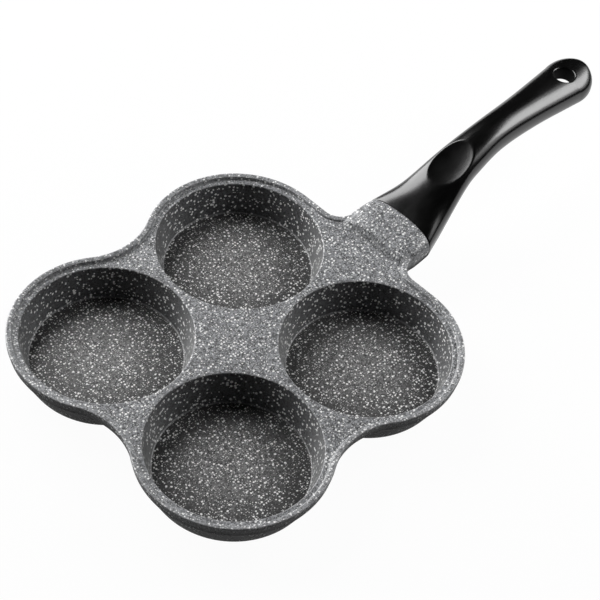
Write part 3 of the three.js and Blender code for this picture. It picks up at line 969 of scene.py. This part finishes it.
def stone_coat():
    """Satin grey non-stick coat of fine granules with pale specks, dark on the walls, with a painted
    highlight on the rounded edges and painted shade on the cup floors towards the walls.
    """
    material = bpy.data.materials.new("stone_coat")
    n = Nodes(material)
    where = n.add("ShaderNodeTexCoord").outputs["Object"]
    edge, wall, floor, outside, corner = (n.attribute(name) for name in MARKS)
    bend = n.add("ShaderNodeTexNoise")
    n.join(where, bend.inputs["Vector"])
    bend.inputs["Scale"].default_value = WAVER_SCALE
    shift = n.add("ShaderNodeVectorMath", operation="MULTIPLY_ADD")
    n.join(bend.outputs["Color"], shift.inputs[0])
    shift.inputs[1].default_value = (WAVER, WAVER, WAVER)
    n.join(where, shift.inputs[2])
    spot = shift.outputs[0]

    # Specks lie flat on level faces, and are small solids on steep ones, so that they don't smear down them
    dark_side = n.math("MAXIMUM", wall, outside)
    facing = n.add("ShaderNodeSeparateXYZ")
    n.join(n.add("ShaderNodeNewGeometry").outputs["Normal"], facing.inputs[0])
    steep = n.math("MAXIMUM", dark_side, n.span(n.math("ABSOLUTE", facing.outputs["Z"]), *STEEP))
    fine = n.math("MULTIPLY", specks(n, spot, "2D", **FINE_SPECKS), FINE_STRENGTH)
    lying = n.math("MAXIMUM", fine, specks(n, spot, "2D", **LARGE_SPECKS))
    chance = n.span(outside, 0.0, 1.0, *STANDING_CHANCES)
    standing = specks(n, spot, "3D", chance=chance, **STANDING_SPECKS)
    speck = n.math("MULTIPLY_ADD", steep, n.math("SUBTRACT", standing, lying), lying)

    cloud = n.noise(where, size=9.0, detail=3.0, roughness=0.6)
    grain = n.noise(where, size=0.6, detail=2.0, roughness=0.6)
    granule = n.cells(spot, GRANULE)[1][0]
    base = n.mix(floor, DECK_PALE, FLOOR_PALE)
    base = n.mix(wall, base, WALL_PALE)
    base = n.mix(outside, base, OUTSIDE_PALE)
    dark = n.mix(floor, DECK_DARK, COAT_DARK)
    dark = n.mix(dark_side, dark, COAT_DARK)
    base = n.mix(granule, base, dark)
    base = n.mix(specks(n, where, "2D", **PITS), base, dark)
    # Painted shade on the cup floors towards the walls
    base = n.mix(n.math("MULTIPLY", corner, PAINTED_CORNER_SHADE), base, COAT_DARK)
    base = n.mix(n.span(cloud, 0.3, 0.7, CLOUD_STRENGTH, 0.0), base, CLOUD_DARK)
    # Painted highlight on the rounded edges
    base = n.mix(n.math("MULTIPLY", edge, PAINTED_GLINT_STRENGTH), base, PAINTED_GLINT_COLOUR)

    shader = n.add("ShaderNodeBsdfPrincipled")
    n.join(n.mix(speck, base, SPECK_COLOUR), shader.inputs["Base Color"])
    rough = n.span(grain, 0.25, 0.8, *COAT_ROUGHNESS)
    rough = n.math("SUBTRACT", rough, n.math("MULTIPLY", wall, WALL_SMOOTHER))
    n.join(n.math("MULTIPLY_ADD", outside, OUTSIDE_ROUGHER, rough), shader.inputs["Roughness"])
    shine = n.span(outside, 0.0, 1.0, *COAT_SHINE)
    shine = n.math("SUBTRACT", shine, n.math("MULTIPLY", wall, WALL_DULLER))
    n.join(shine, shader.inputs["Specular IOR Level"])
    n.join(n.math("MULTIPLY", wall, WALL_SHEEN), shader.inputs["Sheen Weight"])
    height = n.math("MULTIPLY_ADD", speck, SPECK_HEIGHT, grain)
    n.join(n.bump(height, strength=0.35, distance=0.12), shader.inputs["Normal"])
    n.show(shader)
    return material


# The phenolic's blacks, its roughness along the flow marks, what pores add to it, and the dull bore
PHENOLIC_BLACKS = (grey(0.001), grey(0.002))
PHENOLIC_ROUGHNESS = (0.18, 0.22)
PORE_ROUGHNESS = 0.05
BORE_ROUGHNESS = 0.6
PHENOLIC_SHINE, BORE_SHINE = 0.8, 0.1
FLOW_STRETCH = (0.25, 1.0, 1.0)


def black_phenolic():
    """Moulded black phenolic resin: a fine satin skin with faint flow marks, dull in the hanging hole."""
    material = bpy.data.materials.new("black_phenolic")
    n = Nodes(material)
    where = n.add("ShaderNodeTexCoord").outputs["Object"]
    stretch = n.add("ShaderNodeMapping")
    stretch.inputs["Scale"].default_value = FLOW_STRETCH
    n.join(where, stretch.inputs["Vector"])
    flow = n.noise(stretch.outputs[0], size=5.0, detail=3.0, roughness=0.55)
    pores = n.noise(where, size=0.45, detail=2.0, roughness=0.6)
    bore = n.attribute("bore")
    shader = n.add("ShaderNodeBsdfPrincipled")
    n.join(n.mix(n.span(flow, 0.3, 0.7), *PHENOLIC_BLACKS), shader.inputs["Base Color"])
    pitted = n.span(pores, 0.3, 0.8, 0.0, PORE_ROUGHNESS)
    skin = n.math("ADD", n.span(flow, 0.25, 0.75, *PHENOLIC_ROUGHNESS), pitted)
    n.join(n.math("MAXIMUM", skin, n.math("MULTIPLY", bore, BORE_ROUGHNESS)), shader.inputs["Roughness"])
    n.join(n.span(bore, 0.0, 1.0, PHENOLIC_SHINE, BORE_SHINE), shader.inputs["Specular IOR Level"])
    n.join(n.bump(pores, strength=0.12, distance=0.05), shader.inputs["Normal"])
    n.show(shader)
    return material


ZINC_GREYS = (grey(0.48, 0.03), grey(0.66, 0.02))
ZINC_ROUGHNESS = (0.26, 0.42)


def zinc_steel():
    """Zinc-plated steel with a fine grain and slight clouding."""
    material = bpy.data.materials.new("zinc_steel")
    n = Nodes(material)
    where = n.add("ShaderNodeTexCoord").outputs["Object"]
    cloud = n.noise(where, size=1.6, detail=3.0, roughness=0.6)
    fine = n.noise(where, size=0.25, detail=1.0, roughness=0.5)
    shader = n.add("ShaderNodeBsdfPrincipled")
    shader.inputs["Metallic"].default_value = 1.0
    n.join(n.mix(cloud, *ZINC_GREYS), shader.inputs["Base Color"])
    n.join(n.span(fine, 0.2, 0.8, *ZINC_ROUGHNESS), shader.inputs["Roughness"])
    n.show(shader)
    return material


# Camera, floor and light. The camera's eye is in pan millimetres, the rest is in row metres

CAMERA_EYE = (-522.4, -476.8, 858.4)
CAMERA_RIGHT = (0.7059, -0.7038, 0.0806)
CAMERA_UP = (0.4985, 0.5744, 0.6493)
CAMERA_LENS = 117.0
CAMERA_SENSOR = 36.0
CAMERA_CLIP = (0.05, 100.0)
FLOOR_HALF_SIZE = 40.0
FLOOR_LEVEL = -0.0004
FLOOR_COLOUR = grey(0.03)
FLOOR_WHITE = grey(0.965)
# Softboxes: name, the spot they face, and as seen from that spot azimuth and elevation in degrees, distance,
# width and height in degrees, then brightness
SOFTBOXES = [
    ("softbox_left", (0.0, 0.0, 0.03), 97.0, 24.0, 1.1, 48.0, 54.0, 1.85),
    ("softbox_right", (0.1, 0.0, 0.05), 332.0, 39.0, 0.6, 62.0, 36.0, 0.42),
    ("softbox_right_core", (0.1, 0.0, 0.05), 335.0, 43.0, 0.62, 40.0, 20.0, 0.48),
]
WORLD_LIGHT = 0.006


def make_camera():
    data = bpy.data.cameras.new("camera")
    data.sensor_width = CAMERA_SENSOR
    data.lens = CAMERA_LENS
    data.clip_start, data.clip_end = CAMERA_CLIP
    camera = add_object("camera", data)
    right, up = Vector(CAMERA_RIGHT).normalized(), Vector(CAMERA_UP).normalized()
    turn = Matrix((right, up, right.cross(up))).transposed().to_4x4()
    camera.matrix_world = Matrix.Translation(to_row(CAMERA_EYE)) @ turn
    bpy.context.scene.camera = camera


def make_floor():
    """A dark floor that is white to the eye and in reflections, and takes the pan's soft shadow."""
    data = bpy.data.meshes.new("floor")
    corners = [(x * FLOOR_HALF_SIZE, y * FLOOR_HALF_SIZE, FLOOR_LEVEL)
               for x, y in ((-1, -1), (1, -1), (1, 1), (-1, 1))]
    data.from_pydata(corners, [], [(0, 1, 2, 3)])
    floor = add_object("floor", data)
    material = bpy.data.materials.new("floor")
    n = Nodes(material)
    diffuse = n.add("ShaderNodeBsdfDiffuse")
    diffuse.inputs["Color"].default_value = FLOOR_COLOUR
    glow = n.add("ShaderNodeEmission")
    glow.inputs["Color"].default_value = FLOOR_WHITE
    path = n.add("ShaderNodeLightPath").outputs
    seen = n.math("MAXIMUM", path["Is Camera Ray"], path["Is Glossy Ray"])
    n.join(n.math("MAXIMUM", seen, path["Is Transmission Ray"]), glow.inputs["Strength"])
    both = n.add("ShaderNodeAddShader")
    n.join(diffuse.outputs[0], both.inputs[0])
    n.join(glow.outputs[0], both.inputs[1])
    n.show(both)
    data.materials.append(material)


def make_lamps():
    for name, aim, azimuth, elevation, distance, wide, high, strength in SOFTBOXES:
        data = bpy.data.lights.new(name, "AREA")
        data.shape = "RECTANGLE"
        data.size = 2 * distance * math.tan(math.radians(wide / 2))
        data.size_y = 2 * distance * math.tan(math.radians(high / 2))
        data.energy = strength * (math.pi * distance) ** 2
        lamp = add_object(name, data)
        turn, tilt = math.radians(azimuth), math.radians(elevation)
        away = Vector((math.cos(turn) * math.cos(tilt), math.sin(turn) * math.cos(tilt), math.sin(tilt)))
        lamp.location = Vector(aim) + away * distance
        lamp.rotation_euler = (-away).to_track_quat("-Z", "Y").to_euler()
    world = bpy.data.worlds.new("studio")
    world.use_nodes = True
    background = world.node_tree.nodes["Background"]
    background.inputs["Color"].default_value = grey(1.0)
    background.inputs["Strength"].default_value = WORLD_LIGHT
    bpy.context.scene.world = world


def dress(piece, material):
    piece.data.materials.clear()
    piece.data.materials.append(material)


make_camera()
make_floor()
make_lamps()

pan = make_pan_body()
dress(pan, stone_coat())
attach(pan, "root")
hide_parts("pan_body")

grip = make_handle()
dress(grip, black_phenolic())
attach(grip, "root")
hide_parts("handle")

steel = zinc_steel()
for name in ("handle_screw", "spring_washer", "flat_washer"):
    dress(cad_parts[name], steel)

bpy.context.scene.view_settings.view_transform = "Standard"
